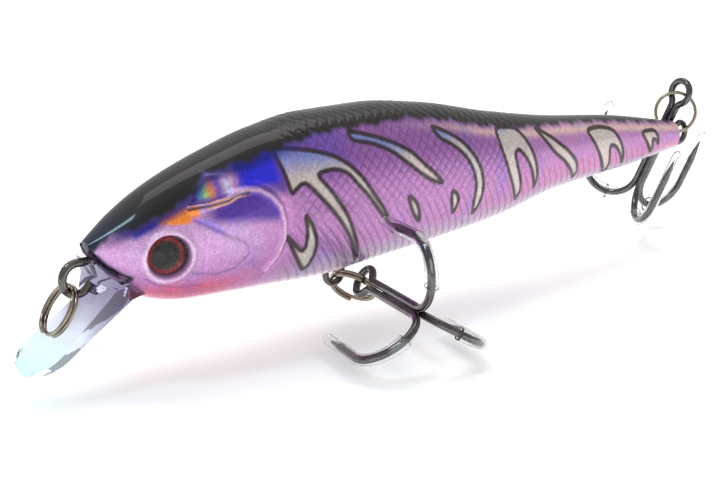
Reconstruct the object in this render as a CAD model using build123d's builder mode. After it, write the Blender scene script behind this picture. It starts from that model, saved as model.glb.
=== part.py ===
from build123d import *
import os
from math import atan, atan2, cos, degrees, pi, radians, sin, sqrt

# Minnow-bodied crankbait, all lengths in millimetres.
# The origin is the centre of the line-tie eye under the nose, +X runs from the nose to the
# tail, +Z is up, and the moulding seam lies in the XZ plane. The left flank is on -Y.

# Body
wall = 0.9
section_power = 0.88

# Each station is (x, top, bottom, half width).
stations = [
    (0.9, 3.2, 2.1, 0.85),
    (2.4, 4.15, 0.45, 2.0),
    (4.4, 5.4, -1.35, 3.2),
    (7.0, 6.85, -3.05, 4.1),
    (10.5, 8.35, -3.8, 4.85),
    (15.0, 9.85, -4.0, 5.4),
    (20.0, 11.2, -4.2, 5.75),
    (26.0, 12.05, -4.4, 6.0),
    (33.0, 12.05, -3.9, 5.9),
    (41.0, 11.15, -3.3, 5.5),
    (50.0, 9.2, -2.4, 4.7),
    (60.0, 7.45, -0.7, 3.6),
    (70.0, 6.25, -0.1, 2.55),
    (80.9, 4.25, 0.95, 1.6),
]
cavity_start = 3
cavity_end = 13

# Eyes
eye_x, eye_y, eye_z = 7.2, 4.2, 1.6
eye_lean = 0.26
socket_radius = 1.9
socket_depth = 1.1
disc_thickness = 0.3
dome_height = 0.55

# Diving lip
lip_half_width = 3.0
lip_root_half = 2.3
lip_reach = 11.6

# Wire forms
tie_wire = 0.8
tie_radius = 1.45
hanger_wire = 0.7
belly_x, belly_z = 29.3, -4.95
belly_radius = 1.05
tail_x, tail_z = 83.2, 2.6
tail_radius = 1.2

# Split rings
coil_wire = 0.38
coil_radius = 2.35
coil_pitch = 0.39
coil_turns = 1.94

# Treble hooks
hook_wire = 0.8
hook_length = 15.8
hook_gap = 7.3
hook_leg = 3.4
point_length = 2.6
point_taper = degrees(atan((hook_wire / 2 - 0.04) / point_length))
shank_offset = 0.48
eye_radius = 1.38
eye_fillet = 1.2
tag_end = 4.6

# Bonnets on the hook points
bonnet_thick = 1.7
bonnet_slot = 1.0
bonnet_wall = 0.45

# Weight transfer
ball_radius = 2.2
ball_z = 3.5
front_ball_x = 43.4
rear_ball_x = 47.9
ball_travel = 11.0
guide_radius = 2.5


def section_points(top, bottom, half_width, side, count=8):
    """Points down one side of a rounded cross-section, from its top to its bottom."""
    middle = (top + bottom) / 2
    points = []
    for i in range(count + 1):
        angle = pi / 2 - pi * i / count
        across = side * half_width * abs(cos(angle)) ** section_power
        lift = abs(sin(angle)) ** section_power * (1 if angle > 0 else -1)
        points.append((across if 0 < i < count else 0, middle + lift * (top - bottom) / 2))
    return points


def half_hull(rows, inset, side):
    """One half of the fish shape, lofted through the stations and inset from its surface."""
    with BuildPart() as hull:
        for x, top, bottom, half_width in rows:
            with BuildSketch(Plane(origin=(x, 0, 0), x_dir=(0, 1, 0), z_dir=(1, 0, 0))):
                with BuildLine():
                    points = section_points(top - inset, bottom + inset, half_width - inset, side)
                    Spline(*points, tangents=((side, 0), (-side, 0)))
                    Line(points[-1], points[0])
                make_face()
        loft()
    return hull.part


def eye_plane(side):
    """Plane at the eye, facing out of the cheek."""
    return Plane(
        origin=(eye_x, side * eye_y, eye_z),
        x_dir=(1, -side * eye_lean, 0),
        z_dir=(-eye_lean, side, 0),
    )


def treble_plane(eye, shank, single):
    """Frame of a treble: origin in its eye, +Z down the shank, +X towards the single hook."""
    shank = Vector(*shank).normalized()
    single = Vector(*single)
    single = (single - shank * single.dot(shank)).normalized()
    return Plane(origin=eye, x_dir=single, z_dir=shank)


def hook_plane(treble, angle):
    """Plane of one hook: local X points away from the shank, local Y runs down the shank."""
    out = treble.x_dir * cos(radians(angle)) + treble.y_dir * sin(radians(angle))
    return Plane(origin=treble.origin, x_dir=out, z_dir=out.cross(treble.z_dir))


def point_solid(start, direction):
    """Tapered needle point that carries on from the end of a hook's wire."""
    with BuildPart() as point:
        with BuildSketch(Plane(origin=start, z_dir=direction)):
            Circle(hook_wire / 2)
        extrude(amount=point_length, taper=point_taper)
    return point.part


def hook_solid(plane, start):
    """Shank wire, round bend and tapered point of one hook."""
    bend = (hook_gap - shank_offset) / 2
    turn = hook_length - hook_wire / 2 - bend
    with BuildPart() as hook:
        with BuildLine(plane) as path:
            Line((shank_offset, start), (shank_offset, turn))
            ThreePointArc(
                (shank_offset, turn), (shank_offset + bend, turn + bend), (hook_gap, turn)
            )
            Line((hook_gap, turn), (hook_gap, turn - hook_leg))
        with BuildSketch(Plane(origin=path.line @ 0, z_dir=path.line % 0)):
            Circle(hook_wire / 2)
        sweep()
        add(point_solid(path.line @ 1, path.line % 1))
    return hook.part


def pair_solid(treble):
    """Two hooks bent from one wire, which turns round between their shanks to form the eye."""
    bend = (hook_gap - shank_offset) / 2
    turn = hook_length - hook_wire / 2 - bend
    half = shank_offset * sin(radians(60))
    reach = half + eye_fillet
    rise = sqrt((eye_radius + eye_fillet) ** 2 - reach**2)
    share = eye_radius / (eye_radius + eye_fillet)
    swing = atan2(rise, reach) / 2
    middle = (reach - eye_fillet * cos(swing), rise - eye_fillet * sin(swing))
    set_back = treble.origin - treble.x_dir * (shank_offset * cos(radians(60)))
    across = treble.y_dir
    flat = Plane(origin=set_back, x_dir=across, z_dir=across.cross(treble.z_dir))
    first = hook_plane(treble, 120)
    second = hook_plane(treble, 240)

    def place(plane, x, y):
        return plane.from_local_coords((x, y, 0))

    with BuildPart() as pair:
        with BuildLine() as path:
            Line(place(first, hook_gap, turn - hook_leg), place(first, hook_gap, turn))
            ThreePointArc(
                place(first, hook_gap, turn),
                place(first, shank_offset + bend, turn + bend),
                place(first, shank_offset, turn),
            )
            Line(place(first, shank_offset, turn), place(first, shank_offset, rise))
            ThreePointArc(
                place(flat, half, rise),
                place(flat, *middle),
                place(flat, share * reach, share * rise),
            )
            ThreePointArc(
                place(flat, share * reach, share * rise),
                place(flat, 0, -eye_radius),
                place(flat, -share * reach, share * rise),
            )
            ThreePointArc(
                place(flat, -share * reach, share * rise),
                place(flat, -middle[0], middle[1]),
                place(flat, -half, rise),
            )
            Line(place(second, shank_offset, rise), place(second, shank_offset, turn))
            ThreePointArc(
                place(second, shank_offset, turn),
                place(second, shank_offset + bend, turn + bend),
                place(second, hook_gap, turn),
            )
            Line(place(second, hook_gap, turn), place(second, hook_gap, turn - hook_leg))
        with BuildSketch(Plane(origin=path.line @ 0, z_dir=path.line % 0)):
            Circle(hook_wire / 2)
        sweep()
        add(point_solid(path.line @ 0, -(path.line % 0)))
        add(point_solid(path.line @ 1, path.line % 1))
    return pair.part


def ring_solid(centre, axis, start):
    """Split ring: nearly two turns of round wire wound side by side."""
    height = coil_pitch * coil_turns
    axis = Vector(*axis).normalized()
    start = Vector(*start)
    start = (start - axis * start.dot(axis)).normalized()
    frame = Plane(origin=centre, x_dir=start, z_dir=axis)
    with BuildPart() as ring:
        with BuildLine() as path:
            Helix(pitch=coil_pitch, height=height, radius=coil_radius, center=(0, 0, -height / 2))
        with BuildSketch(Plane(origin=path.line @ 0, z_dir=path.line % 0)):
            Circle(coil_wire / 2)
        sweep(is_frenet=True)
    return ring.part.moved(frame.location)


def bonnet_solid(plane):
    """Flat soft hood over a hook point and the outer part of its bend, open below."""
    bend = (hook_gap - shank_offset) / 2
    turn = hook_length - hook_wire / 2 - bend
    tip = turn - hook_leg - point_length
    half_slot = bonnet_slot / 2
    outer = half_slot + bonnet_wall
    inside = bend - hook_wire / 2 - 0.12
    middle = hook_gap - bend
    with BuildPart() as bonnet:
        with BuildSketch(plane):
            with BuildLine():
                Polyline(
                    (hook_gap - outer + 0.15, tip - 1.3),
                    (hook_gap + outer - 0.15, tip - 1.3),
                    (hook_gap + outer, turn),
                    (hook_gap + outer - 0.35, turn + 1.7),
                    (hook_gap - 1.0, turn + bend),
                    (middle + 0.5, turn + bend + hook_wire),
                    (middle - 0.1, turn + inside - 0.55),
                    (hook_gap - 1.6, turn - 0.2),
                    (hook_gap - outer, turn - 2.0),
                    (hook_gap - outer + 0.15, tip - 1.3),
                )
            make_face()
        extrude(amount=bonnet_thick / 2, both=True)
        with BuildSketch(plane):
            with BuildLine():
                Polyline(
                    (hook_gap - half_slot, tip - 0.2),
                    (hook_gap + half_slot, tip - 0.2),
                    (hook_gap + half_slot, turn + bend + 2),
                    (middle - 1.5, turn + bend + 2),
                    (middle - 1.5, turn + inside),
                    (middle, turn + inside),
                )
                ThreePointArc(
                    (middle, turn + inside),
                    (middle + inside * sin(radians(50)), turn + inside * cos(radians(50))),
                    (hook_gap - half_slot, turn + 0.2),
                )
                Line((hook_gap - half_slot, turn + 0.2), (hook_gap - half_slot, tip - 0.2))
            make_face()
        extrude(amount=bonnet_slot / 2, both=True, mode=Mode.SUBTRACT)
    return bonnet.part


# Bent wires inside the body ------------------------------------------------------------

with BuildPart() as line_tie_wire:
    with BuildLine(Plane.XZ) as tie_path:
        Line((4.6, tie_radius), (0, tie_radius))
        ThreePointArc(
            (0, tie_radius),
            (-tie_radius, 0),
            (tie_radius * cos(radians(20)), -tie_radius * sin(radians(20))),
        )
    with BuildSketch(Plane(origin=tie_path.line @ 0, z_dir=tie_path.line % 0)):
        Circle(tie_wire / 2)
    sweep()
line_tie_wire.part.label = "line_tie_wire"

with BuildPart() as belly_hanger_wire:
    with BuildLine(Plane.XZ) as belly_path:
        Line((belly_x - belly_radius, belly_z + 4.2), (belly_x - belly_radius, belly_z))
        ThreePointArc(
            (belly_x - belly_radius, belly_z),
            (belly_x, belly_z - belly_radius),
            (belly_x + belly_radius, belly_z),
        )
        Line((belly_x + belly_radius, belly_z), (belly_x + belly_radius, belly_z + 4.2))
    with BuildSketch(Plane(origin=belly_path.line @ 0, z_dir=belly_path.line % 0)):
        Circle(hanger_wire / 2)
    sweep()
belly_hanger_wire.part.label = "belly_hanger_wire"

with BuildPart() as tail_hanger_wire:
    with BuildLine(Plane.XZ) as tail_path:
        Line((tail_x - 8.0, tail_z + 0.7), (tail_x - 2.6, tail_z + 0.7))
        TangentArc(
            (tail_x - 2.6, tail_z + 0.7), (tail_x - 0.6, tail_z + tail_radius), tangent=(1, 0)
        )
        ThreePointArc(
            (tail_x - 0.6, tail_z + tail_radius),
            (tail_x - 0.6 + tail_radius, tail_z),
            (tail_x - 0.6, tail_z - tail_radius),
        )
        TangentArc(
            (tail_x - 2.6, tail_z - 0.7), (tail_x - 0.6, tail_z - tail_radius), tangent=(1, 0)
        )
        Line((tail_x - 2.6, tail_z - 0.7), (tail_x - 8.0, tail_z - 0.7))
    with BuildSketch(Plane(origin=tail_path.line @ 0, z_dir=tail_path.line % 0)):
        Circle(hanger_wire / 2)
    sweep(transition=Transition.ROUND)
tail_hanger_wire.part.label = "tail_hanger_wire"

# Clear diving lip with its smoky root ---------------------------------------------------

lip_top_root = (3.0, -1.05)
lip_top_tip = (-5.5, -7.1)
lip_under_tip = (-5.8, -7.8)
lip_under_root = (4.4, -2.4)
lip_run = Vector(lip_under_tip[0] - lip_under_root[0], 0, lip_under_tip[1] - lip_under_root[1])
lip_plane = Plane(
    origin=(lip_under_root[0], 0, lip_under_root[1]),
    x_dir=lip_run,
    z_dir=lip_run.cross(Vector(0, 1, 0)),
)

with BuildPart() as diving_lip:
    with BuildSketch(Plane.XZ):
        with BuildLine():
            Polyline(
                lip_top_root,
                lip_top_tip,
                lip_under_tip,
                lip_under_root,
                (8.2, -1.6),
                (8.2, -0.4),
                lip_top_root,
            )
        make_face()
    extrude(amount=5, both=True)
    with BuildSketch(lip_plane):
        with BuildLine():
            Line((-6, -1.9), (-1.5, -1.9))
            Spline(
                (-1.5, -1.9),
                (2.0, -lip_root_half),
                (6.5, -lip_half_width + 0.15),
                (9.6, -lip_half_width),
                (lip_reach, 0),
                (9.6, lip_half_width),
                (6.5, lip_half_width - 0.15),
                (2.0, lip_root_half),
                (-1.5, 1.9),
                tangents=((1, 0), (-1, 0)),
            )
            Line((-1.5, 1.9), (-6, 1.9))
            Line((-6, 1.9), (-6, -1.9))
        make_face()
    extrude(amount=8, both=True, mode=Mode.INTERSECT)
    with BuildSketch(Plane.XZ):
        with BuildLine():
            Polyline(
                (0.9, 1.75), (2.1, 0.95), (3.4, -0.02), (4.3, -0.5), (5.6, -1.0),
                (4.4, -2.2), (2.4, -1.0), (1.0, -1.35), (1.3, 0.2), (0.9, 1.75),
            )
        make_face()
    extrude(amount=1.5, both=True)
    add(line_tie_wire.part, mode=Mode.SUBTRACT)
diving_lip.part.label = "diving_lip"

# Hollow body halves ---------------------------------------------------------------------

hull_left = half_hull(stations, 0, -1)
cavity_left = half_hull(stations[cavity_start:cavity_end], wall, -1)

pin_spots = [(22.5, 8.0), (37.0, 8.0), (66.5, 3.6)]
pin_radius = 0.8
boss_radius = 1.5
rib_stations = [39.9, 45.6, 52.0, 58.2, 62.5]
rib_thick = 0.9
cradle_stations = [15.6, 21.6]
ballast_x, ballast_z = 18.6, -0.6
ballast_radius, ballast_length = 1.9, 8.0


def hollow_solid(side, cavity):
    """Empty space in one half: the cavity less its guides, cradle, weld bosses and eye cup."""
    with BuildPart() as ribs:
        for x in rib_stations + cradle_stations:
            with BuildSketch(Plane.YZ.offset(x)):
                Rectangle(20, 30)
            extrude(amount=rib_thick / 2, both=True)
        for x in rib_stations[1:-1]:
            with BuildSketch(Plane.YZ.offset(x)):
                with Locations((0, ball_z)):
                    Circle(guide_radius)
            extrude(amount=rib_thick, both=True, mode=Mode.SUBTRACT)
        for x in cradle_stations:
            with BuildSketch(Plane.YZ.offset(x)):
                with Locations((0, ballast_z + 10)):
                    Rectangle(20, 20)
                with Locations((0, ballast_z)):
                    Circle(ballast_radius)
            extrude(amount=rib_thick, both=True, mode=Mode.SUBTRACT)
        with BuildSketch(Plane.XZ):
            with Locations(*pin_spots):
                Circle(boss_radius)
        extrude(amount=-side * 8)
        with BuildSketch(eye_plane(side).offset(-2.4)):
            Circle(socket_radius + 0.7)
        extrude(amount=4)
    with BuildPart() as hollow:
        add(cavity)
        add(ribs.part, mode=Mode.SUBTRACT)
    return hollow.part


hull_right = mirror(hull_left, about=Plane.XZ)
cavity_right = mirror(cavity_left, about=Plane.XZ)
hollow_left = hollow_solid(-1, cavity_left)
hollow_right = hollow_solid(1, cavity_right)

with BuildPart() as left_shell:
    add(hull_left)
    add(hollow_left, mode=Mode.SUBTRACT)
    with BuildSketch(Plane.XZ):
        with Locations(*pin_spots):
            Circle(pin_radius)
    extrude(amount=-1.6)
    with BuildSketch(eye_plane(-1).offset(-socket_depth)):
        Circle(socket_radius)
    extrude(amount=4, mode=Mode.SUBTRACT)
    for inlay in (diving_lip, line_tie_wire, belly_hanger_wire, tail_hanger_wire):
        add(inlay.part, mode=Mode.SUBTRACT)
left_shell.part.label = "left_shell"

with BuildPart() as right_shell:
    add(hull_right)
    add(hollow_right, mode=Mode.SUBTRACT)
    with BuildSketch(Plane.XZ):
        with Locations(*pin_spots):
            Circle(pin_radius + 0.03)
    extrude(amount=-2.0, mode=Mode.SUBTRACT)
    with BuildSketch(eye_plane(1).offset(-socket_depth)):
        Circle(socket_radius)
    extrude(amount=4, mode=Mode.SUBTRACT)
    for inlay in (diving_lip, line_tie_wire, belly_hanger_wire, tail_hanger_wire):
        add(inlay.part, mode=Mode.SUBTRACT)
right_shell.part.label = "right_shell"

# Eyes -----------------------------------------------------------------------------------

with BuildPart() as left_eye_disc:
    with BuildSketch(eye_plane(-1).offset(-socket_depth)):
        Circle(socket_radius - 0.03)
    extrude(amount=disc_thickness)
left_eye_disc.part.label = "left_eye_disc"

with BuildPart() as right_eye_disc:
    with BuildSketch(eye_plane(1).offset(-socket_depth)):
        Circle(socket_radius - 0.03)
    extrude(amount=disc_thickness)
right_eye_disc.part.label = "right_eye_disc"


def dome_solid(side):
    """Clear lens lying on the printed eye, a low spherical cap."""
    rim = socket_radius - 0.05
    radius = (rim**2 + dome_height**2) / (2 * dome_height)
    base = eye_plane(side).offset(disc_thickness - socket_depth)
    with BuildPart() as dome:
        with BuildSketch(base):
            Circle(rim)
        extrude(amount=dome_height)
        with Locations(base.offset(dome_height - radius)):
            Sphere(radius, mode=Mode.INTERSECT)
    return dome.part


with BuildPart() as left_eye_dome:
    add(dome_solid(-1))
left_eye_dome.part.label = "left_eye_dome"

with BuildPart() as right_eye_dome:
    add(dome_solid(1))
right_eye_dome.part.label = "right_eye_dome"

# Weights --------------------------------------------------------------------------------

with BuildPart() as chest_ballast:
    with BuildSketch(Plane.YZ.offset(ballast_x)):
        with Locations((0, ballast_z)):
            Circle(ballast_radius - 0.01)
    extrude(amount=ballast_length / 2, both=True)
    chamfer(chest_ballast.edges(), length=0.3)
chest_ballast.part.label = "chest_ballast"

with BuildPart(Plane((front_ball_x, 0, ball_z))) as front_ball:
    Sphere(ball_radius)
front_ball.part.label = "front_ball"

with BuildPart(Plane((rear_ball_x, 0, ball_z))) as rear_ball:
    Sphere(ball_radius)
rear_ball.part.label = "rear_ball"

# Split rings ----------------------------------------------------------------------------

tie_ring_centre = Vector(-1.6, 0.55, -2.7)
tie_ring_axis = (0.83, -0.16, -0.525)

belly_ring_hold = Vector(29.3, 0, -5.16)
belly_ring_away = Vector(0.718, -0.423, -0.556).normalized()
belly_ring_axis = (0.70, 0.28, 0.66)
belly_ring_centre = belly_ring_hold + belly_ring_away * coil_radius

tail_ring_hold = Vector(82.7, 0, 2.7)
tail_ring_away = Vector(-0.05, 0.26, 0.964).normalized()
tail_ring_axis = (0.72, 0.69, -0.149)
tail_ring_centre = tail_ring_hold + tail_ring_away * coil_radius

with BuildPart() as line_tie_ring:
    add(ring_solid(tie_ring_centre, tie_ring_axis, tie_ring_centre))
line_tie_ring.part.label = "line_tie_ring"

with BuildPart() as belly_ring:
    add(ring_solid(belly_ring_centre, belly_ring_axis, Vector(0.2, 0.5, -1)))
belly_ring.part.label = "belly_ring"

with BuildPart() as tail_ring:
    add(ring_solid(tail_ring_centre, tail_ring_axis, Vector(0.6, -0.7, 0.1)))
tail_ring.part.label = "tail_ring"

# Treble hooks ---------------------------------------------------------------------------

belly_eye = belly_ring_centre + Vector(0.0107, -0.926, 0.3806) * coil_radius
belly_treble = treble_plane(belly_eye, (-0.292, -0.955, 0.04), (0.835, -0.235, -0.5))

tail_ring_side = Vector(0.704, -0.687, 0.222).normalized()
tail_eye = tail_ring_centre + tail_ring_away * 2.15 + tail_ring_side * 1.16
tail_treble = treble_plane(tail_eye, (-0.165, 0.34, -0.925), (0.966, -0.038, -0.216))

with BuildPart() as belly_hook_pair:
    add(pair_solid(belly_treble))
belly_hook_pair.part.label = "belly_hook_pair"

with BuildPart() as belly_hook_single:
    add(hook_solid(hook_plane(belly_treble, 0), tag_end))
belly_hook_single.part.label = "belly_hook_single"

with BuildPart() as tail_hook_pair:
    add(pair_solid(tail_treble))
tail_hook_pair.part.label = "tail_hook_pair"

with BuildPart() as tail_hook_single:
    add(hook_solid(hook_plane(tail_treble, 0), tag_end))
tail_hook_single.part.label = "tail_hook_single"

# Bonnets --------------------------------------------------------------------------------

bonnets = []
for name, treble in (("belly", belly_treble), ("tail", tail_treble)):
    for letter, angle in (("a", 0), ("b", 120), ("c", 240)):
        with BuildPart() as bonnet:
            add(bonnet_solid(hook_plane(treble, angle)))
        bonnet.part.label = f"{name}_bonnet_{letter}"
        bonnets.append(bonnet)

# Export ---------------------------------------------------------------------------------

os.makedirs("parts", exist_ok=True)
pieces = [
    left_shell, right_shell, diving_lip, left_eye_disc, right_eye_disc, left_eye_dome,
    right_eye_dome, line_tie_wire, belly_hanger_wire, tail_hanger_wire, chest_ballast,
    front_ball, rear_ball, line_tie_ring, belly_ring, tail_ring, belly_hook_pair,
    belly_hook_single, tail_hook_pair, tail_hook_single, *bonnets,
]
for piece in pieces:
    export_step(piece.part, f"parts/{piece.part.label}.step")

for name, treble in (("belly", belly_treble), ("tail", tail_treble)):
    print(name, "eye", treble.origin, "shank", treble.z_dir, "single", treble.x_dir)
for name, centre in (("tie", tie_ring_centre), ("belly", belly_ring_centre), ("tail", tail_ring_centre)):
    print(name, "ring", centre)
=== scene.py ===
import math
from types import SimpleNamespace

import bmesh
import bpy
import numpy as np
from mathutils import Matrix, Vector


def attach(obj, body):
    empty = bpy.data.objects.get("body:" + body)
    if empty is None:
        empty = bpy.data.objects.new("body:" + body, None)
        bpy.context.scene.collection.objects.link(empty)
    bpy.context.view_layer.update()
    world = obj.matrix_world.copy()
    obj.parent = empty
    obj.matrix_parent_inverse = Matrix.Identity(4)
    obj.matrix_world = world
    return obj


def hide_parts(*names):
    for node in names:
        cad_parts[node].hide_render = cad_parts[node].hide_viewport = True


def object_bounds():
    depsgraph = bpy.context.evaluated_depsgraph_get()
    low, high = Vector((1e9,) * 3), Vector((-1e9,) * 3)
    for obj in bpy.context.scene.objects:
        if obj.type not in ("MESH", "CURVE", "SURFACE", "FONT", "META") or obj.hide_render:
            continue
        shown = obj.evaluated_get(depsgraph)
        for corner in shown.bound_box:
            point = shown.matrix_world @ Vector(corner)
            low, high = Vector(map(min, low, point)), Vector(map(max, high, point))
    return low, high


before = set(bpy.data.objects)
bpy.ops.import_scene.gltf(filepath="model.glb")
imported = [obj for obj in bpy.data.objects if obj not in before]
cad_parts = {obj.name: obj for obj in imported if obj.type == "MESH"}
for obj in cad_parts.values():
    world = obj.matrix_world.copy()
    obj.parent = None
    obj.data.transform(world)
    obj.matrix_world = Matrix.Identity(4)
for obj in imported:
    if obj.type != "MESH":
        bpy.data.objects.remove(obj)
cad_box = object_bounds()
MM = 0.001

# Body profile: (x, top, bottom, half width), millimetres in the row frame
STATIONS = np.array([
    (0.9, 3.2, 2.1, 0.85), (2.4, 4.15, 0.45, 2.0), (4.4, 5.4, -1.35, 3.2), (7.0, 6.85, -3.05, 4.1),
    (10.5, 8.35, -3.8, 4.85), (15.0, 9.85, -4.0, 5.4), (20.0, 11.2, -4.2, 5.75),
    (26.0, 12.05, -4.4, 6.0), (33.0, 12.05, -3.9, 5.9), (41.0, 11.15, -3.3, 5.5),
    (50.0, 9.2, -2.4, 4.7), (60.0, 7.45, -0.7, 3.6), (70.0, 6.25, -0.1, 2.55), (80.9, 4.25, 0.95, 1.6),
])
NOSE = np.array((0.9, 2.6))  # nose tip in (x, z)
EYE = np.array((7.2, 1.6))
EYE_R = 1.9


def pchip(xs, ys, q):
    """Monotone cubic through (xs, ys) at q."""
    h = np.diff(xs)
    d = np.diff(ys) / h
    m = np.zeros_like(ys)
    m[1:-1] = np.where(d[:-1] * d[1:] > 0, 2 * d[:-1] * d[1:] / (d[:-1] + d[1:] + 1e-12), 0)
    m[0], m[-1] = d[0], d[-1]
    i = np.clip(np.searchsorted(xs, q) - 1, 0, len(h) - 1)
    t = (q - xs[i]) / h[i]
    a = (1 + 2 * t) * (1 - t) ** 2 * ys[i] + t * (1 - t) ** 2 * h[i] * m[i]
    return a + t * t * (3 - 2 * t) * ys[i + 1] + t * t * (t - 1) * h[i] * m[i + 1]


def smooth(a, b, v):
    """0 where v is at a, 1 where it is at b, and an eased step between."""
    t = np.clip((v - a) / (b - a), 0, 1)
    return t * t * (3 - 2 * t)


def srgb(r, g, b):
    """Linear colour of 0 to 255 display values."""
    c = np.array((r, g, b)) / 255
    return np.where(c <= 0.04045, c / 12.92, ((c + 0.055) / 1.055) ** 2.4)


def line_distance(px, pz, points):
    """Distance from each (px, pz) to an open polyline, in millimetres."""
    best = np.full(px.shape, 1e9)
    for (ax, az), (bx, bz) in zip(points, points[1:]):
        ex, ez = bx - ax, bz - az
        t = np.clip(((px - ax) * ex + (pz - az) * ez) / (ex * ex + ez * ez), 0, 1)
        best = np.minimum(best, np.hypot(px - ax - t * ex, pz - az - t * ez))
    return best


def band(distance, width, centre=0.0):
    """Soft line of 1 where distance is at centre, fading out over width."""
    return np.exp(-((distance - centre) / width) ** 2)


def inside(px, pz, points):
    """True where (px, pz) lies inside a closed outline."""
    hit = np.zeros(px.shape, bool)
    for (ax, az), (bx, bz) in zip(points, points[1:] + points[:1]):
        if az == bz:
            continue
        cross = ((az > pz) != (bz > pz)) & (px < (bx - ax) * (pz - az) / (bz - az) + ax)
        hit ^= cross
    return hit


def rounded(points, rounds=2):
    """Closed outline with its corners cut twice, so that it reads as a brushed curve."""
    for _ in range(rounds):
        out = []
        for a, b in zip(points, points[1:] + points[:1]):
            a, b = np.array(a), np.array(b)
            out += [tuple(a * 0.8 + b * 0.2), tuple(a * 0.2 + b * 0.8)]
        points = out
    return points


# Flank graphics, (x from the nose tip, z from the nose tip)
CLAWS = [
    [(18.1, 7.3), (20.5, 7.0), (22.5, 6.6), (24.5, 5.9), (26, 4.9), (27.4, 3.5), (28.8, 1.6), (30.2, -0.2),
     (31.2, -1.8), (32.0, -3.0), (30.6, -1.4), (29.2, 0.2), (28.0, 1.7), (26.8, 2.9), (25.8, 4.1),
     (24.6, 4.7), (23.2, 4.8), (22.0, 4.5), (23.3, 3.0), (25.2, 0.5), (26.5, -2.0), (27.6, -4.2),
     (28.0, -5.3), (27.0, -3.9), (26.0, -2.2), (24.2, 0.2), (22.4, 2.2), (20.8, 3.9), (20.2, 3.9),
     (19.4, 3.4), (19.0, 3.1), (18.6, 5.0)],
    [(18.3, -0.7), (19.3, -1.8), (20.2, -2.7), (20.65, -2.6), (20.75, -1.0), (20.4, 1.1), (21.3, -0.3),
     (21.9, -1.8), (21.95, -3.2), (21.6, -4.6), (21.25, -5.0), (20.4, -4.1), (19.2, -2.4)],
    [(27, 7.9), (30, 7.0), (32, 6.2), (34, 5.1), (35.6, 3.6), (37, 2.5), (38.3, 1.2), (36.6, 1.8),
     (35, 2.8), (33.3, 4.1), (31.5, 5.5), (29.3, 6.5), (27, 7.0)],
    [(33.2, 0.9), (34.4, 0.0), (35.0, -1.2), (35.3, -2.4), (34.3, -1.4), (33.7, -0.4)],
    [(39.4, 0.3), (40.25, -0.1), (40.65, -0.9), (40.1, -2.4), (39.65, -1.3)],
    [(37.6, 7.1), (40, 6.0), (41.6, 4.9), (42.9, 3.5), (43.9, 1.8), (44.3, 0), (44.1, -1.6), (43.4, -3.2),
     (43.0, -1.6), (43.2, 0.3), (42.6, 2.2), (41.5, 3.7), (40, 4.9), (38.3, 5.8)],
    [(47.1, 5.6), (47.3, 3.5), (48, 1.6), (48.8, -0.2), (49.6, -1.7), (50.2, -2.7), (50.6, -1.5), (50.2, 0),
     (49.6, 1.5), (49.4, 2.7), (50.1, 3.0), (51, 2.2), (52, 0.8), (52.6, -0.6), (52.9, -1.9), (53.2, -0.4),
     (52.9, 1.0), (52.2, 2.7), (51.3, 4.2), (50.3, 5.2)],
    [(53.6, 4.7), (55.6, 3.6), (57, 2.6), (58.6, 1.5), (60, 0.2), (60.5, -0.9), (60.3, -2.0), (59.4, -0.9),
     (57.8, 0.6), (56.1, 1.7), (54.8, 3.2)],
    [(62.3, 3.2), (63.5, 1.5), (64.5, 0), (65.4, -1.4), (66.5, -2.7), (66.6, -1.4), (66.2, 0.2),
     (66.4, 1.0), (67.4, 0.7), (68.3, -0.3), (69.3, -1.9), (68.9, -0.2), (68.3, 1.1), (67.2, 2.6),
     (65, 3.2)],
    [(72.4, 1.6), (73.3, 0.4), (74.0, -0.5), (74.6, -1.2), (74.6, -0.2), (74.5, 0.5), (75.2, 0.3),
     (75.7, -0.4), (75.6, 0.6), (75.0, 1.5)],
]
BACK_LINE = np.array([
    (-1, -1.2), (0, -0.4), (1.0, 0.75), (2.5, 1.45), (5, 2.15), (7, 3.0), (9, 3.9), (11, 5.5), (13, 6.0),
    (15, 6.3), (18, 6.95), (20, 7.3), (22, 7.7), (25, 8.0), (30, 7.95), (35, 8.0), (40, 7.2), (45, 6.0),
    (50, 5.05), (55, 4.5), (60, 4.1), (65, 3.6), (70, 2.95), (75, 2.2), (81, 1.45),
])
GILL_EDGE = [(8.8, 2.9), (11, 3.2), (12.5, 3.6), (13.5, 3.95), (14.5, 4.1), (15.7, 3.9), (16.8, 3.2),
             (17.6, 2.2), (18.05, 0.6), (18.0, -1), (17.4, -2.6), (16.4, -3.9)]
CHEEK_LINES = [
    [(9.0, 2.0), (11.5, 0.6), (13.7, -0.6), (14.3, -1.3)],
    [(8.5, -2.9), (11, -3.45), (13, -3.1), (14.4, -1.9)],
    [(4.4, -3.0), (5.4, -3.7), (7.2, -4.2), (9.5, -4.3)],
]
SCOOP = [
    (8.7, 3.35), (9.8, 4.5), (11.3, 5.35), (12.7, 5.4), (13.2, 4.8), (13.0, 4.05), (12.2, 3.65),
    (10.4, 3.3),
]
SCOOP_SHADOW = [(8.6, 2.95), (10.5, 3.05), (12.4, 3.35), (13.3, 3.75), (14.5, 3.85)]
RAINBOW = [  # (share of the way along the scoop, colour)
    (0.1, (30, 60, 190)), (0.32, (40, 190, 230)), (0.46, (150, 220, 120)), (0.58, (240, 150, 50)),
    (0.72, (130, 90, 190)), (0.92, (200, 196, 230)),
]
CHEEK_BLUE = [(8.9, 2.1), (10.2, 1.5), (11.5, 0.6)]
BROW_BLUE = [(3.6, 1.2), (4.6, 1.7), (5.3, 2.0)]
MOUTH = [(-0.3, 0.2), (0.6, -0.9), (1.2, -1.6), (2.5, -2.6), (3.2, -2.9), (3.15, -3.5), (3.5, -4.1)]
ORANGE = [(5.7, 2.1), (7.0, 2.95), (9.2, 3.1), (9.3, 2.3), (8.0, 1.9), (6.6, 2.0)]


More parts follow.
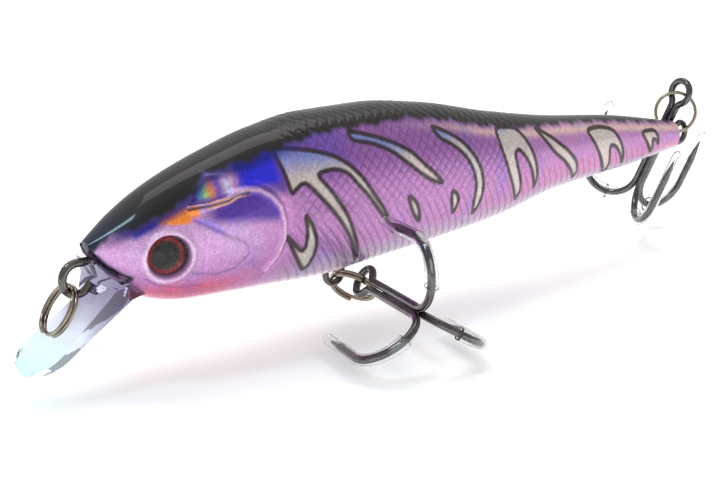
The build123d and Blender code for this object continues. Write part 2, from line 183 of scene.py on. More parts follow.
def mesh_object(name, verts, faces, body):
    """Smooth-shaded mesh that rides on a body."""
    mesh = bpy.data.meshes.new(name)
    mesh.from_pydata([tuple(v) for v in verts], [], [tuple(f) for f in faces])
    mesh.validate()
    mesh.polygons.foreach_set("use_smooth", [True] * len(mesh.polygons))
    obj = bpy.data.objects.new(name, mesh)
    bpy.context.scene.collection.objects.link(obj)
    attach(obj, body)
    return obj


def set_colour(obj, colours, name):
    """Stores one linear colour per vertex for the material to read."""
    layer = obj.data.color_attributes.new(name, "FLOAT_COLOR", "POINT")
    data = np.ones((len(colours), 4))
    data[:, :3] = colours
    layer.data.foreach_set("color", data.ravel())


def grid_faces(rows, cols, closed=False, flip=False):
    """Quads over a grid of vertices; closed joins the last column to the first."""
    faces = []
    span = cols if closed else cols - 1
    for i in range(rows - 1):
        for j in range(span):
            k = (j + 1) % cols
            f = (i * cols + j, i * cols + k, (i + 1) * cols + k, (i + 1) * cols + j)
            faces.append(f[::-1] if flip else f)
    return faces


# ---------------------------------------------------------------- materials

def material(name):
    """New node material: itself, its nodes, its links and its shader."""
    m = bpy.data.materials.new(name)
    m.use_nodes = True
    nodes, links = m.node_tree.nodes, m.node_tree.links
    return m, nodes, links, nodes["Principled BSDF"]


def node(nodes, kind, **values):
    """New node with the given input values or settings."""
    n = nodes.new(kind)
    for key, value in values.items():
        if key in n.inputs:
            n.inputs[key].default_value = value
        else:
            setattr(n, key, value)
    return n


def noise_bump(nodes, links, shader, scale, strength, distance, detail=4.0):
    """Fine surface noise; returns the coordinates and the noise, for the colour to use."""
    where = node(nodes, "ShaderNodeTexCoord")
    noise = node(nodes, "ShaderNodeTexNoise", Scale=scale, Detail=detail, Roughness=0.6)
    bump = node(nodes, "ShaderNodeBump", Strength=strength, Distance=distance)
    links.new(where.outputs["Object"], noise.inputs["Vector"])
    links.new(noise.outputs["Fac"], bump.inputs["Height"])
    links.new(bump.outputs["Normal"], shader.inputs["Normal"])
    return where, noise


def ramp(nodes, links, source, stops):
    """Colour ramp over source, from (position, colour) stops."""
    r = nodes.new("ShaderNodeValToRGB")
    while len(r.color_ramp.elements) < len(stops):
        r.color_ramp.elements.new(0.5)
    for e, (p, c) in zip(r.color_ramp.elements, stops):
        e.position = p
        e.color = (*c, 1)
    links.new(source, r.inputs["Fac"])
    return r


def metal(name, colour, roughness, scratch=0.15, tint=0.25):
    """Plated or polished metal, cloudy in colour and unevenly bright."""
    m, nodes, links, shader = material(name)
    where, noise = noise_bump(nodes, links, shader, 5200, scratch, 0.00002)
    cloud = node(nodes, "ShaderNodeTexNoise", Scale=900.0, Detail=3.0)
    links.new(where.outputs["Object"], cloud.inputs["Vector"])
    colour = np.array(colour)
    dull, bright = tuple(colour * (1 - tint)), tuple(colour * (1 + tint))
    c = ramp(nodes, links, cloud.outputs["Fac"], [(0.3, dull), (0.7, bright)])
    links.new(c.outputs["Color"], shader.inputs["Base Color"])
    worn = [(0.35, (roughness * 0.6,) * 3), (0.75, (roughness * 1.5,) * 3)]
    rough = ramp(nodes, links, noise.outputs["Fac"], worn)
    links.new(rough.outputs["Color"], shader.inputs["Roughness"])
    shader.inputs["Metallic"].default_value = 1.0
    return m


def clear(name, colour, roughness, ior, scale, strength):
    """Clear plastic with a faint ripple."""
    m, nodes, links, shader = material(name)
    _, noise = noise_bump(nodes, links, shader, scale, strength, 0.0001, 2.0)
    c = ramp(nodes, links, noise.outputs["Fac"], [(0.3, tuple(np.array(colour) * 0.94)), (0.7, colour)])
    links.new(c.outputs["Color"], shader.inputs["Base Color"])
    shader.inputs["Roughness"].default_value = roughness
    shader.inputs["IOR"].default_value = ior
    shader.inputs["Transmission Weight"].default_value = 1.0
    return m


def lip_plastic():
    """Clear moulding, faintly cyan at its edge and smoky violet where it is glued in."""
    m, nodes, links, shader = material("clear_lip")
    where, noise = noise_bump(nodes, links, shader, 420, 0.22, 0.0002, 2.0)
    place = nodes.new("ShaderNodeSeparateXYZ")
    links.new(where.outputs["Object"], place.inputs["Vector"])
    along = node(nodes, "ShaderNodeMapRange")
    along.inputs["From Min"].default_value = -0.0058
    along.inputs["From Max"].default_value = 0.0044
    links.new(place.outputs["X"], along.inputs["Value"])
    wobble = node(nodes, "ShaderNodeMath", operation="MULTIPLY_ADD")
    wobble.inputs[1].default_value = 0.25
    links.new(noise.outputs["Fac"], wobble.inputs[0])
    links.new(along.outputs["Result"], wobble.inputs[2])
    c = ramp(nodes, links, wobble.outputs[0], [
        (0.0, (0.58, 0.82, 0.88)), (0.35, (0.70, 0.86, 0.90)), (0.62, (0.68, 0.72, 0.84)),
        (0.80, (0.38, 0.38, 0.48)), (1.0, (0.25, 0.22, 0.34))])
    links.new(c.outputs["Color"], shader.inputs["Base Color"])
    shader.inputs["Roughness"].default_value = 0.03
    shader.inputs["IOR"].default_value = 1.22
    shader.inputs["Transmission Weight"].default_value = 1.0
    return m


def painted_skin():
    """Foil under clear coat: painted colour, metal flake grain and a fine brushed shimmer."""
    m, nodes, links, shader = material("foil_skin")
    where = node(nodes, "ShaderNodeTexCoord")
    paint = node(nodes, "ShaderNodeAttribute", attribute_name="paint")
    mask = node(nodes, "ShaderNodeAttribute", attribute_name="mask")
    parts = nodes.new("ShaderNodeSeparateColor")
    links.new(mask.outputs["Color"], parts.inputs["Color"])
    flake = node(nodes, "ShaderNodeTexVoronoi", Scale=5200.0)
    links.new(where.outputs["Object"], flake.inputs["Vector"])
    grain = node(nodes, "ShaderNodeTexNoise", Scale=2600.0, Detail=5.0, Roughness=0.7)
    links.new(where.outputs["Object"], grain.inputs["Vector"])
    stretch = node(nodes, "ShaderNodeMapping")
    stretch.inputs["Scale"].default_value = (1.0, 1.0, 0.35)
    links.new(where.outputs["Object"], stretch.inputs["Vector"])
    cloud = node(nodes, "ShaderNodeTexNoise", Scale=330.0, Detail=4.0, Roughness=0.55)
    links.new(stretch.outputs["Vector"], cloud.inputs["Vector"])
    hue = ramp(nodes, links, cloud.outputs["Fac"], [
        (0.30, (0.80, 0.86, 1.14)), (0.46, (1.0, 1.0, 1.0)), (0.60, (1.08, 0.96, 1.02)),
        (0.74, (0.96, 1.06, 1.08))])
    tint = node(nodes, "ShaderNodeMix", data_type="RGBA", blend_type="MULTIPLY")
    links.new(parts.outputs["Red"], tint.inputs["Factor"])
    links.new(paint.outputs["Color"], tint.inputs["A"])
    links.new(hue.outputs["Color"], tint.inputs["B"])
    glitter = [(0.1, (0.84,) * 3), (0.55, (1.0,) * 3), (0.9, (1.22,) * 3)]
    sparkle = ramp(nodes, links, flake.outputs["Color"], glitter)
    glint = node(nodes, "ShaderNodeMix", data_type="RGBA", blend_type="MULTIPLY")
    links.new(parts.outputs["Red"], glint.inputs["Factor"])
    links.new(tint.outputs["Result"], glint.inputs["A"])
    links.new(sparkle.outputs["Color"], glint.inputs["B"])
    links.new(glint.outputs["Result"], shader.inputs["Base Color"])
    metalness = node(nodes, "ShaderNodeMath", operation="MULTIPLY")
    metalness.inputs[1].default_value = 0.62
    links.new(parts.outputs["Red"], metalness.inputs[0])
    links.new(metalness.outputs[0], shader.inputs["Metallic"])
    rough = ramp(nodes, links, grain.outputs["Fac"], [(0.3, (0.30,) * 3), (0.7, (0.52,) * 3)])
    links.new(rough.outputs["Color"], shader.inputs["Roughness"])
    bump = node(nodes, "ShaderNodeBump", Strength=0.35, Distance=0.00003)
    links.new(grain.outputs["Fac"], bump.inputs["Height"])
    links.new(bump.outputs["Normal"], shader.inputs["Normal"])
    shader.inputs["Specular IOR Level"].default_value = 0.15
    shader.inputs["Coat Weight"].default_value = 0.9
    shader.inputs["Coat Roughness"].default_value = 0.035
    shader.inputs["Coat IOR"].default_value = 1.4
    return m


SKIN = painted_skin()
CLEAR_LIP = lip_plastic()
HOOD = clear("soft_hood", (0.97, 0.98, 0.985), 0.06, 1.3, 900, 0.25)
LENS = clear("eye_lens", (0.96, 0.96, 0.96), 0.02, 1.3, 300, 0.02)
WARM_NICKEL = metal("warm_nickel", (0.36, 0.31, 0.24), 0.15)
DARK_NICKEL = metal("dark_nickel", (0.17, 0.155, 0.14), 0.14)
BLACK_NICKEL = metal("black_nickel", (0.15, 0.142, 0.145), 0.13)
BRASS = metal("turned_brass", (0.55, 0.40, 0.18), 0.3)
STEEL = metal("polished_steel", (0.58, 0.58, 0.6), 0.08)


# ---------------------------------------------------------------- body skin

ROWS, COLS = 640, 170  # points along the body, and round one half of it
SKIN_LENGTH = 80.0
SECTION_POWER = 0.88  # below 1 fills the section out from an ellipse


def half_body():
    """Points over one half of the body, outward normals that fade at the seam, share of height."""
    xs = STATIONS[0, 0] + SKIN_LENGTH * np.linspace(0, 1, ROWS) ** 1.04
    angle = np.linspace(math.pi / 2, -math.pi / 2, COLS)
    x = np.repeat(xs[:, None], COLS, 1)
    top, bottom, half = (pchip(STATIONS[:, 0], STATIONS[:, k], xs)[:, None] for k in (1, 2, 3))
    across = np.abs(np.cos(angle)) ** SECTION_POWER
    lift = np.sign(np.sin(angle)) * np.abs(np.sin(angle)) ** SECTION_POWER
    y = half * across[None]
    z = (top + bottom) / 2 + (top - bottom) / 2 * lift[None]
    points = np.stack([x, y, z], -1)
    normals = np.cross(np.gradient(points, axis=0), np.gradient(points, axis=1))
    normals /= np.linalg.norm(normals, axis=2, keepdims=True) + 1e-9
    normals *= np.where(normals[:, :, 1:2] < 0, -1, 1)
    normals[:, (0, -1)] = np.array((0, 0, 1.0)) * np.sign(lift[[0, -1]])[None, :, None]
    seam = smooth(0, 0.10, across)[None]
    share = (z - bottom) / (top - bottom)
    return points, normals * seam[:, :, None], share


def flank_features(points, share):
    """Where every point lies from the eye, the gill cover and the other moulded features."""
    x, z = points[:, :, 0] - NOSE[0], points[:, :, 2] - NOSE[1]
    net_up = np.abs(((x + 0.95 * z) / 1.15) % 1 - 0.5) * 2
    net_down = np.abs(((x - 0.95 * z) / 1.15) % 1 - 0.5) * 2
    net = np.maximum(smooth(0.72, 0.95, net_up), smooth(0.72, 0.95, net_down))
    lean = 0.85 - 0.3 * smooth(20, 60, x)
    rib = smooth(0.70, 0.97, np.abs(((x + lean * z) / 1.02) % 1 - 0.5) * 2)
    return SimpleNamespace(
        x=x,
        z=z,
        share=share,
        eye=np.hypot(points[:, :, 0] - EYE[0], points[:, :, 2] - EYE[1]),
        gill=line_distance(x, z, GILL_EDGE),
        on_gill=inside(x, z, GILL_EDGE + [(10, -4.5), (7, 0)]),
        cheeks=[line_distance(x, z, path) for path in CHEEK_LINES],
        scoop=line_distance(x, z, SCOOP + SCOOP[:1]),
        in_scoop=inside(x, z, SCOOP),
        mouth=line_distance(x, z, MOUTH),
        net=net,
        net_area=smooth(-0.6, 1.2, z) * smooth(18.5, 21, x) * smooth(58, 46, x),
        rib=rib,
        rib_area=smooth(0.9, -0.5, z) * smooth(17.8, 19.5, x) * smooth(79, 74, x),
        back=np.interp(x, BACK_LINE[:, 0], BACK_LINE[:, 1]),
    )


def relief(at):
    """Height of the moulded features above the plain body, in millimetres."""
    height = np.zeros_like(at.x)
    height += 0.24 * band(at.gill, 0.30)
    height -= np.where(at.on_gill, 0, 0.16 * band(at.gill, 0.3, 0.55))
    height -= np.where(at.in_scoop, 0.34 * smooth(0, 0.5, at.scoop), 0)
    height += np.where(at.in_scoop, 0, 0.10 * band(at.scoop, 0.25))
    for cheek in at.cheeks:
        height -= 0.09 * band(cheek, 0.16)
    height += 0.26 * band(at.eye, 0.28, 2.2)
    height -= 1.05 * smooth(EYE_R + 0.10, EYE_R - 0.12, at.eye)
    height -= 0.22 * band(at.mouth, 0.16)
    height -= 0.05 * at.net * at.net_area
    height -= 0.07 * at.rib * at.rib_area
    return height


class Paint:
    """Colour over the half body, laid on in layers."""

    def __init__(self, shape, ground):
        self.colour = np.empty(shape + (3,))
        self.colour[:] = srgb(*ground)

    def lay(self, colour, amount):
        self.colour += (srgb(*colour) - self.colour) * np.clip(amount, 0, 1)[:, :, None]


def paint_body(paint, at):
    """Washes of purple, pink and lilac from the back to the belly; the darker purple on the upper flank is
    partly the lure's own colour and partly painted shade.
    """
    x, z = at.x, at.z
    # darker purple on the upper flank: partly the lure's own colour, partly painted shade toward the back
    paint.lay((136, 86, 162), 0.75 * smooth(0.45, 0.8, at.share) * smooth(17, 22, x) * smooth(60, 40, x))
    paint.lay((206, 134, 176), 0.7 * smooth(0.55, 0.3, at.share) * smooth(30, 60, x))
    paint.lay((212, 178, 222), 0.6 * smooth(19, 12, x) * smooth(-3.5, -0.5, z))
    paint.lay((196, 184, 204), 0.85 * smooth(0.27, 0.10, at.share) * smooth(14, 24, x))
    paint.lay((206, 96, 132), 0.95 * smooth(-3.0, -4.6, z) * smooth(17.5, 10, x) * smooth(2.6, 4.2, x))
    paint.lay((238, 222, 228), 0.9 * smooth(-5.5, -6.2, z) * smooth(5.5, 8, x))


def paint_shoulder(paint, at):
    """Deep purple on the gill cover and bright blue behind the scoop."""
    x, z = at.x, at.z
    gill_top = smooth(0.7, 2.0, z + 0.10 * (x - 13)) * smooth(9.0, 11.5, x)
    paint.lay((78, 48, 158), 0.96 * gill_top * smooth(0.0, 0.5, np.where(at.on_gill, at.gill, 0)))
    paint.lay((70, 44, 150), 0.8 * smooth(2.6, 4.0, z) * smooth(13, 14.5, x) * smooth(20.5, 18, x))
    paint.lay((36, 40, 226), 0.95 * smooth(4.0, 4.7, z) * smooth(13.4, 14.6, x) * smooth(18.6, 17.4, x))
    paint.lay((58, 62, 190), 0.45 * smooth(0.62, 0.80, at.share) * smooth(18, 20, x) * smooth(29, 24, x))


def paint_head(paint, at):
    """Orange fleck, rainbow scoop, and the light and dark lines of the head."""
    x, z = at.x, at.z
    fleck = np.where(inside(x, z, ORANGE), -1, line_distance(x, z, ORANGE + ORANGE[:1]))
    paint.lay((255, 150, 40), 0.98 * smooth(0.35, -0.05, fleck))
    paint.lay((120, 108, 232), 0.7 * band(line_distance(x, z, CHEEK_BLUE), 0.28))
    paint.lay((40, 54, 214), 0.85 * band(line_distance(x, z, BROW_BLUE), 0.33))
    shadow = line_distance(x, z, SCOOP_SHADOW)
    paint.lay((24, 20, 40), 0.9 * band(shadow, 0.16))
    paint.lay((255, 190, 90), 0.7 * band(shadow, 0.08, 0.2) * (z < 3.6) * smooth(10, 11, x))
    along_scoop = np.clip((x - 8.6) / 4.6, 0, 1)
    for share, colour in RAINBOW:
        glow = np.where(at.in_scoop, 1, 0) * band(along_scoop, 0.10, share)
        paint.lay(colour, glow * smooth(3.4, 4.0, z))
    paint.lay((120, 84, 170), np.where(at.in_scoop, 0.9, 0) * smooth(4.1, 3.7, z))
    paint.lay((236, 214, 240), 0.7 * band(at.eye, 0.22, 2.25))
    paint.lay((240, 206, 226), 0.75 * band(at.gill, 0.14) * smooth(12, 14, x))
    for cheek in at.cheeks:
        paint.lay((110, 70, 130), 0.55 * band(cheek, 0.10))


def paint_scales_and_highlight(paint, at):
    """Darker grooves of the scale net and the ribs, and a painted highlight: the pale band of window
    reflection along the rear back edge.
    """
    paint.lay((104, 62, 128), 0.55 * at.net * at.net_area)
    paint.lay((112, 66, 128), 0.55 * at.rib * at.rib_area)
    # painted highlight: pale peach band standing in for the window's reflection just under the black back
    paint.lay((246, 214, 196), 0.75 * band(at.z - at.back, 0.42, -0.55) * smooth(30, 52, at.x))


def paint_claws(paint, at):
    """Silver claw marks in dark outlines; returns how much foil is left bare of ink."""
    x, z = at.x, at.z
    foil = np.ones_like(x)
    for claw in CLAWS:
        outline = rounded(claw)
        near = (x > min(p[0] for p in claw) - 1) & (x < max(p[0] for p in claw) + 1)
        distance = np.full(x.shape, 9.0)
        distance[near] = line_distance(x[near], z[near], outline + outline[:1])
        hit = np.zeros(x.shape, bool)
        hit[near] = inside(x[near], z[near], outline)
        fill = np.where(hit, smooth(0.0, 0.1, distance), 0)
        paint.lay((206, 198, 190), 0.95 * fill)
        paint.lay((96, 120, 206), 0.8 * fill * smooth(4.2, 6.6, z))
        stroke = smooth(0.30, 0.17, distance)
        paint.lay((44, 30, 30), 0.96 * stroke)
        foil *= 1 - 0.7 * stroke
    return foil


def paint_back(paint, at):
    """Black back with its blue edge, the mouth line and painted shade in the eye socket; returns the
    black's share.
    """
    x, above = at.x, at.z - at.back
    wander = 0.12 * np.sin(x * 2.1) + 0.07 * np.sin(x * 5.3 + 1)
    black = smooth(-0.30, 0.30, above + wander)
    paint.lay((20, 26, 120), 0.9 * smooth(-1.1, -0.2, above) * smooth(24, 16, x) * smooth(0.5, 3, x))
    paint.lay((20, 16, 15), black)
    paint.lay((26, 44, 74), 0.55 * black * smooth(6, 0, x))
    paint.lay((10, 10, 22), 0.98 * band(at.mouth, 0.26))
    # painted shade: dark colour inside the eye socket stands in for the shadow in the recess
    paint.lay((30, 12, 22), smooth(EYE_R + 0.10, EYE_R - 0.05, at.eye))
    return black


def skin(side, name, cad_node):
    """One flank and half of the back and belly, with moulded relief and painted foil."""
    points, normals, share = half_body()
    at = flank_features(points, share)
    points = points + normals * relief(at)[:, :, None]
    points[:, :, 1] *= side
    paint = Paint(at.x.shape, (188, 134, 190))
    paint_body(paint, at)
    paint_shoulder(paint, at)
    paint_head(paint, at)
    paint_scales_and_highlight(paint, at)
    foil = paint_claws(paint, at)
    black = paint_back(paint, at)
    # no foil on the black back, nor on the eye socket's painted shade
    foil *= (1 - black) * (1 - 0.8 * smooth(EYE_R + 0.1, EYE_R, at.eye))

    nose = tuple(range(COLS))
    tail = tuple((ROWS - 1) * COLS + k for k in range(COLS))
    caps = [nose, tail[::-1]] if side > 0 else [nose[::-1], tail]
    faces = grid_faces(ROWS, COLS, flip=side < 0) + caps
    obj = mesh_object(name, points.reshape(-1, 3) * MM, faces, "body")
    set_colour(obj, paint.colour.reshape(-1, 3), "paint")
    masks = np.zeros(foil.shape + (3,))
    masks[..., 0] = foil
    set_colour(obj, masks.reshape(-1, 3), "mask")
    obj.data.materials.append(SKIN)
    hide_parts(cad_node)


skin(-1, "left_skin", "left_shell")
skin(1, "right_skin", "right_shell")


# ---------------------------------------------------------------- wire helpers

def tube(points, radii, sides=22):
    """Round wire along points; radii may be one number or one per point."""
    pts = np.array(points, float)
    radii = np.broadcast_to(np.array(radii, float), (len(pts),))
    tangents = np.gradient(pts, axis=0)
    tangents /= np.linalg.norm(tangents, axis=1, keepdims=True)
    seed = np.array((0, 0, 1.0)) if abs(tangents[0][2]) < 0.9 else np.array((1.0, 0, 0))
    normal = np.cross(tangents[0], seed)
    verts = []
    turn = np.linspace(0, 2 * math.pi, sides, endpoint=False)
    for p, t, r in zip(pts, tangents, radii):
        normal = normal - t * np.dot(normal, t)
        normal /= np.linalg.norm(normal)
        other = np.cross(t, normal)
        verts.append(p + r * (np.cos(turn)[:, None] * normal + np.sin(turn)[:, None] * other))
    verts = np.concatenate(verts)
    faces = grid_faces(len(pts), sides, closed=True)
    last = (len(pts) - 1) * sides
    faces += [tuple(range(sides))[::-1], tuple(range(last, last + sides))]
    return verts * MM, faces


def unit(v):
    """v at length 1."""
    v = np.array(v, float)
    return v / np.linalg.norm(v)


# ---------------------------------------------------------------- trebles

WIRE, LENGTH, GAP, LEG, POINT = 0.8, 15.8, 7.3, 3.4, 2.6
OFFSET, EYE_LOOP, FILLET, TAG = 0.48, 1.38, 1.2, 4.6
BEND = (GAP - OFFSET) / 2
TURN = LENGTH - WIRE / 2 - BEND

COIL_RADIUS = 2.35


def ring_centre(hold, away):
    """Centre of a split ring that hangs at hold and lies in the direction away."""
    return np.array(hold) + COIL_RADIUS * unit(away)


BELLY_RING = ring_centre((29.3, 0.0, -5.16), (0.718, -0.423, -0.556))
TAIL_AWAY = (-0.05, 0.26, 0.964)
TAIL_RING = ring_centre((82.7, 0.0, 2.7), TAIL_AWAY)
TREBLES = {  # centre of the eye, direction down the shank, rough direction of the single hook
    "belly": (BELLY_RING + COIL_RADIUS * np.array((0.0107, -0.926, 0.3806)),
              (-0.292, -0.955, 0.04), (0.835, -0.235, -0.5)),
    "tail": (TAIL_RING + 2.15 * unit(TAIL_AWAY) + 1.16 * unit((0.704, -0.687, 0.222)),
             (-0.165, 0.34, -0.925), (0.966, -0.038, -0.216)),
}


def treble_axes(where):
    """Eye, direction down the shank, direction of the single hook, and the third axis."""
    eye, down, single = TREBLES[where]
    down = unit(down)
    single = unit(np.array(single) - down * np.dot(single, down))
    return eye, down, single, np.cross(down, single)


def hook_axes(where, angle):
    """Eye, outward direction of the hook at angle round the shank, direction down the shank."""
    eye, down, single, side = treble_axes(where)
    out = math.cos(math.radians(angle)) * single + math.sin(math.radians(angle)) * side
    return eye, out, down


def hook_path(where, angle, start):
    """Points and radii from the shank to the needle tip of one hook."""
    eye, out, down = hook_axes(where, angle)
    path = [(OFFSET, v) for v in np.linspace(start, TURN, 26, endpoint=False)]
    path += [(OFFSET + BEND - BEND * math.cos(t), TURN + BEND * math.sin(t))
             for t in np.linspace(0, math.pi, 44, endpoint=False)]
    path += [(GAP, v) for v in np.linspace(TURN, TURN - LEG, 16, endpoint=False)]
    radii = [WIRE / 2] * len(path)
    for s in np.linspace(0, 1, 26):
        path.append((GAP, TURN - LEG - POINT * s))
        radii.append(WIRE / 2 * (1 - s) ** 0.72 + 0.012)
    return [eye + u * out + v * down for u, v in path], radii


def barb(where, angle, name, body):
    """Sliver cut up from the inner side of the point."""
    eye, out, down = hook_axes(where, angle)
    root, tip = TURN - LEG - 1.35, TURN - LEG + 0.1
    points, radii = [], []
    for s in np.linspace(0, 1, 14):
        points.append(eye + (GAP - 0.16 - 0.42 * s ** 1.3) * out + (root + (tip - root) * s) * down)
        radii.append(0.17 * (1 - s) ** 0.6 + 0.01)
    verts, faces = tube(points, radii, 12)
    obj = mesh_object(name, verts, faces, body)
    obj.data.materials.append(BLACK_NICKEL)


for where in ("belly", "tail"):
    body = f"treble_{where}"
    points, radii = hook_path(where, 0, TAG)
    verts, faces = tube(points, radii)
    single = mesh_object(f"{where}_single_hook", verts, faces, body)
    single.data.materials.append(BLACK_NICKEL)
    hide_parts(f"{where}_hook_single")

    half = OFFSET * math.sin(math.radians(60))
    reach = half + FILLET
    rise = math.sqrt((EYE_LOOP + FILLET) ** 2 - reach ** 2)
    eye, down, out, side = treble_axes(where)
    back = eye - out * OFFSET * math.cos(math.radians(60))
    first, first_r = hook_path(where, 120, rise)
    second, second_r = hook_path(where, 240, rise)
    swing = math.degrees(math.atan2(rise, reach))
    loop = [back + side * (reach - FILLET * math.cos(t)) + down * (rise - FILLET * math.sin(t))
            for t in np.linspace(0, math.radians(swing), 9)[1:]]
    loop += [back + EYE_LOOP * (side * math.cos(t) + down * math.sin(t))
             for t in np.linspace(math.radians(swing), math.radians(-180 - swing), 60)[1:-1]]
    loop += [back - side * (reach - FILLET * math.cos(t)) + down * (rise - FILLET * math.sin(t))
             for t in np.linspace(math.radians(swing), 0, 9)[:-1]]
    path = first[::-1] + loop + second
    radii = first_r[::-1] + [WIRE / 2] * len(loop) + second_r
    verts, faces = tube(path, radii)
    pair = mesh_object(f"{where}_double_hook", verts, faces, body)
    pair.data.materials.append(BLACK_NICKEL)
    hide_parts(f"{where}_hook_pair")
    for letter, angle in zip("abc", (0, 120, 240)):
        barb(where, angle, f"{where}_barb_{letter}", body)
    rows = []
    for s in np.linspace(0, 1, 40):
        v = TAG - 0.2 + (TURN + 0.4 - TAG + 0.2) * s
        rows.append((eye + down * v, 0.34 * (1 - 0.5 * abs(2 * s - 1) ** 6)))
    verts, faces = tube([p for p, _ in rows], [r for _, r in rows], 14)
    braze = mesh_object(f"{where}_braze", verts, faces, body)
    braze.data.materials.append(BLACK_NICKEL)


# ---------------------------------------------------------------- CAD pieces that keep their own shape

def finish_node(name, mat, bevel=0.0, segments=2):
    """Gives a CAD piece its material and, when asked, soft edges."""
    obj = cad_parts[name]
    obj.data.materials.clear()
    obj.data.materials.append(mat)
    if bevel:
        mod = obj.modifiers.new("soft_edges", "BEVEL")
        mod.width = bevel * MM
        mod.segments = segments
        mod.limit_method = "ANGLE"
        mod.angle_limit = math.radians(35)


def eye_paint():
    """Printed eye: black pupil, red iris ring with foil grain, dark rim."""
    m, nodes, links, shader = material("printed_eye")
    spot = node(nodes, "ShaderNodeTexCoord")
    centre = node(nodes, "ShaderNodeVectorMath", operation="SUBTRACT")
    centre.inputs[1].default_value = (EYE[0] * MM, 0.0, EYE[1] * MM)
    links.new(spot.outputs["Object"], centre.inputs[0])
    flat = node(nodes, "ShaderNodeVectorMath", operation="MULTIPLY")
    flat.inputs[1].default_value = (1000.0, 0.0, 1000.0)
    links.new(centre.outputs["Vector"], flat.inputs[0])
    size = node(nodes, "ShaderNodeVectorMath", operation="LENGTH")
    links.new(flat.outputs["Vector"], size.inputs[0])
    scaled = node(nodes, "ShaderNodeMath", operation="DIVIDE")
    scaled.inputs[1].default_value = EYE_R
    links.new(size.outputs["Value"], scaled.inputs[0])
    c = ramp(nodes, links, scaled.outputs[0], [
        (0.0, (0.001, 0.001, 0.0015)), (0.60, (0.0015, 0.001, 0.0015)), (0.68, (0.20, 0.008, 0.012)),
        (0.86, (0.55, 0.03, 0.03)), (0.93, (0.05, 0.008, 0.012)), (1.0, (0.01, 0.008, 0.01))])
    grain = node(nodes, "ShaderNodeTexNoise", Scale=4200.0, Detail=3.0)
    links.new(spot.outputs["Object"], grain.inputs["Vector"])
    g = ramp(nodes, links, grain.outputs["Fac"], [(0.3, (0.6,) * 3), (0.7, (1.5,) * 3)])
    mixed = node(nodes, "ShaderNodeMix", data_type="RGBA", blend_type="MULTIPLY")
    mixed.inputs["Factor"].default_value = 1.0
    links.new(c.outputs["Color"], mixed.inputs["A"])
    links.new(g.outputs["Color"], mixed.inputs["B"])
    links.new(mixed.outputs["Result"], shader.inputs["Base Color"])
    rough = ramp(nodes, links, grain.outputs["Fac"], [(0.3, (0.2,) * 3), (0.7, (0.4,) * 3)])
    links.new(rough.outputs["Color"], shader.inputs["Roughness"])
    return m


PRINTED_EYE = eye_paint()
for side in ("left", "right"):
    finish_node(f"{side}_eye_disc", PRINTED_EYE)
    finish_node(f"{side}_eye_dome", LENS)
finish_node("diving_lip", CLEAR_LIP, 0.15, 3)
for name in ("line_tie_wire", "belly_hanger_wire", "tail_hanger_wire"):
    finish_node(name, DARK_NICKEL)
for name in ("line_tie_ring", "belly_ring", "tail_ring"):
    finish_node(name, WARM_NICKEL)
finish_node("chest_ballast", BRASS)
finish_node("front_ball", STEEL)
finish_node("rear_ball", STEEL)


HOOD_SIDES = 28
HOOD_WALL = 0.13


def hood(where, angle, letter):
    """Soft clear sleeve over a hook point: flattened tube with a rounded tip and a flared, open mouth."""
    eye, out, down = hook_axes(where, angle)
    centre = []
    for t in np.linspace(math.radians(78), math.pi, 30, endpoint=False):
        centre.append((OFFSET + BEND - BEND * math.cos(t), TURN + BEND * math.sin(t)))
    centre += [(GAP, v) for v in np.linspace(TURN, TURN - LEG - POINT - 1.2, 40)]
    c = np.array(centre)
    along = np.gradient(c, axis=0)
    along /= np.linalg.norm(along, axis=1, keepdims=True)
    beside = np.stack([along[:, 1], -along[:, 0]], 1)
    thick = np.cross(out, down)
    turn = np.linspace(0, 2 * math.pi, HOOD_SIDES, endpoint=False)
    n = len(c)
    s = np.linspace(0, 1, n)
    flare = 0.30 * np.exp(-(s / 0.16) ** 2)
    tip = np.sqrt(np.clip(1 - ((s - 0.94) / 0.06).clip(0, 1) ** 2, 0.003, 1))
    rings = []
    for shrink, order in ((0.0, range(n)), (HOOD_WALL, range(n - 1, -1, -1))):
        for i in order:
            wide = (0.62 + flare[i] - shrink) * tip[i]
            deep = (0.56 + 0.3 * flare[i] - shrink) * tip[i]
            base = c[i] - along[i] * (0.12 if shrink and i > n - 4 else 0)
            ring = (base[0] + wide * np.cos(turn) * beside[i, 0])[:, None] * out
            ring = ring + (base[1] + wide * np.cos(turn) * beside[i, 1])[:, None] * down
            rings.append(eye + ring + (deep * np.sin(turn))[:, None] * thick)
    verts = np.concatenate(rings) * MM
    faces = [f for f in grid_faces(len(rings), HOOD_SIDES, closed=True)
             if min(f) // HOOD_SIDES != n - 1]
    outer_tip, inner_tip, inner_mouth = ((k * HOOD_SIDES) for k in (n - 1, n, len(rings) - 1))
    for k in range(HOOD_SIDES):
        following = (k + 1) % HOOD_SIDES
        faces.append((inner_mouth + k, inner_mouth + following, following, k))
    faces.append(tuple(range(outer_tip, outer_tip + HOOD_SIDES)))
    faces.append(tuple(range(inner_tip, inner_tip + HOOD_SIDES))[::-1])
    obj = mesh_object(f"{where}_hood_{letter}", verts, faces, f"hood_{where}_{letter}")
    bm = bmesh.new()
    bm.from_mesh(obj.data)
    bmesh.ops.recalc_face_normals(bm, faces=bm.faces)
    bm.to_mesh(obj.data)
    bm.free()
    obj.data.materials.append(HOOD)
    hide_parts(f"{where}_bonnet_{letter}")


for where in ("belly", "tail"):
    for letter, angle in zip("abc", (0, 120, 240)):
        hood(where, angle, letter)


# ---------------------------------------------------------------- floor, light, camera

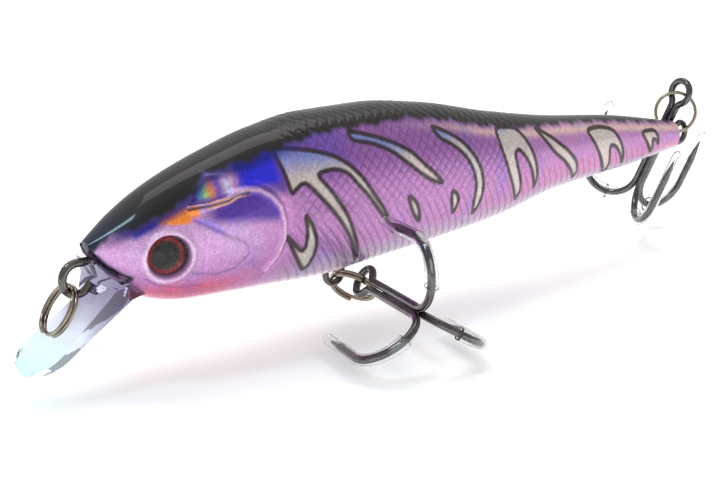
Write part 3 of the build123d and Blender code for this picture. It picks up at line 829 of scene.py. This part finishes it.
def stage_floor(level):
    """Pale floor, lit a little from within, that the export leaves out."""
    mesh = bpy.data.meshes.new("floor")
    corners = [(-3, -3, level), (3, -3, level), (3, 3, level), (-3, 3, level)]
    mesh.from_pydata(corners, [], [(0, 1, 2, 3)])
    floor = bpy.data.objects.new("floor", mesh)
    bpy.context.scene.collection.objects.link(floor)
    m, nodes, links, shader = material("pale_floor")
    _, noise = noise_bump(nodes, links, shader, 60, 0.03, 0.0005)
    c = ramp(nodes, links, noise.outputs["Fac"], [(0.3, (0.88, 0.88, 0.88)), (0.7, (0.92, 0.915, 0.91))])
    links.new(c.outputs["Color"], shader.inputs["Base Color"])
    shader.inputs["Roughness"].default_value = 0.7
    shader.inputs["Emission Color"].default_value = (1.0, 0.995, 0.99, 1)
    shader.inputs["Emission Strength"].default_value = 0.20
    mesh.materials.append(m)


def area_light(name, place, aim, size, power, colour, glossy):
    """Rectangular light at place, turned to aim; glossy shows it in reflections."""
    data = bpy.data.lights.new(name, "AREA")
    data.shape = "RECTANGLE"
    data.size, data.size_y = size
    data.energy = power
    data.color = colour
    obj = bpy.data.objects.new(name, data)
    obj.visible_glossy = glossy
    bpy.context.scene.collection.objects.link(obj)
    obj.location = place
    obj.rotation_euler = (Vector(aim) - Vector(place)).to_track_quat("-Z", "Y").to_euler()


stage_floor(cad_box[0][2] - 0.0003)
area_light("window", (0.55, 0.45, 0.95), (0.04, 0, 0), (1.3, 1.3), 10.0, (1.0, 0.98, 0.95), False)
area_light("front_fill", (-0.3, -1.0, 0.5), (0.04, 0, 0), (1.2, 0.8), 4.4, (0.97, 0.98, 1.0), False)
area_light("sky_card", (0.30, 0.40, 1.0), (0.04, 0, 0), (0.9, 0.5), 1.8, (1.0, 0.97, 0.92), True)
area_light("nose_card", (-0.20, 0.06, 0.50), (0, 0, 0), (0.10, 0.14), 0.55, (0.6, 0.9, 1.0), True)

world = bpy.data.worlds.new("studio")
bpy.context.scene.world = world
world.use_nodes = True
world.node_tree.nodes["Background"].inputs["Color"].default_value = (1.0, 0.99, 0.98, 1)
world.node_tree.nodes["Background"].inputs["Strength"].default_value = 0.52

camera_data = bpy.data.cameras.new("camera")
camera_data.sensor_width = 36.0
camera_data.lens = 80.06
camera_data.clip_start = 0.01
camera = bpy.data.objects.new("camera", camera_data)
bpy.context.scene.collection.objects.link(camera)
forward = Vector((0.6166, 0.7419, -0.2637)).normalized()
right = Vector((0.769, -0.639, 0.0)).normalized()
up = right.cross(forward).normalized()
turn = Matrix((right, up, -forward)).transposed().to_4x4()
camera.matrix_world = Matrix.Translation(Vector((-67.84, -121.08, 40.90)) * MM) @ turn
bpy.context.scene.camera = camera
bpy.context.scene.view_settings.view_transform = "Standard"
